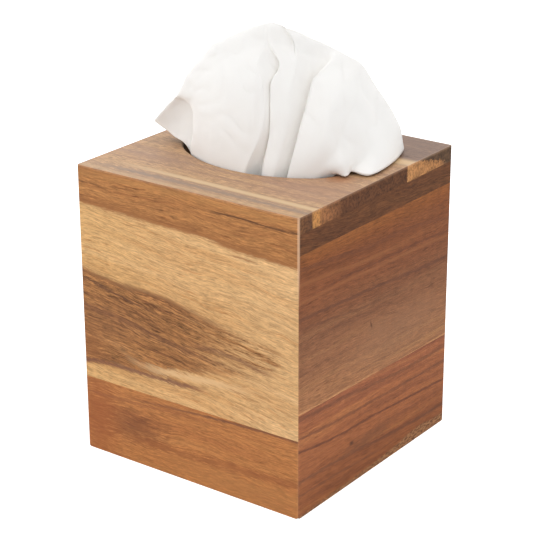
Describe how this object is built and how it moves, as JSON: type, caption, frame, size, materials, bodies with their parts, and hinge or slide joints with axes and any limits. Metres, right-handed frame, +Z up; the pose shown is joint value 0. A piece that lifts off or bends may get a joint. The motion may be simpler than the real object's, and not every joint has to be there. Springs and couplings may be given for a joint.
{
  "type": "wooden tissue box",
  "caption": "Square open-bottomed tissue box of edge-glued wooden staves with an oval opening in its top, over a card carton of tissues with one sheet drawn up through it.",
  "frame": {"origin": "middle of the box's foot, on the surface that it stands on", "axes": "+Z up; the front face with the wide light stave looks along -Y and the face with the top's end grain along +X"},
  "size_m": [0.13, 0.13, 0.2163],
  "materials": {
    "top_wood": "satin",
    "gold_wood": "satin",
    "red_wood": "satin",
    "dark_wood": "satin",
    "card": "matt",
    "tissue": "soft matt"
  },
  "bodies": {
    "root": {"top_front_stave": "top_wood", "top_middle_stave": "top_wood", "top_back_stave": "top_wood", "front_upper_stave": "gold_wood", "front_lower_stave": "red_wood", "right_upper_stave": "dark_wood", "right_middle_stave": "red_wood", "right_lower_stave": "red_wood", "back_upper_stave": "red_wood", "back_lower_stave": "gold_wood", "left_upper_stave": "red_wood", "left_middle_stave": "gold_wood", "left_lower_stave": "dark_wood", "tissue_carton": "card", "tissue_stack": "tissue", "tissue_sheet": "tissue"}
  },
  "joints": []
}
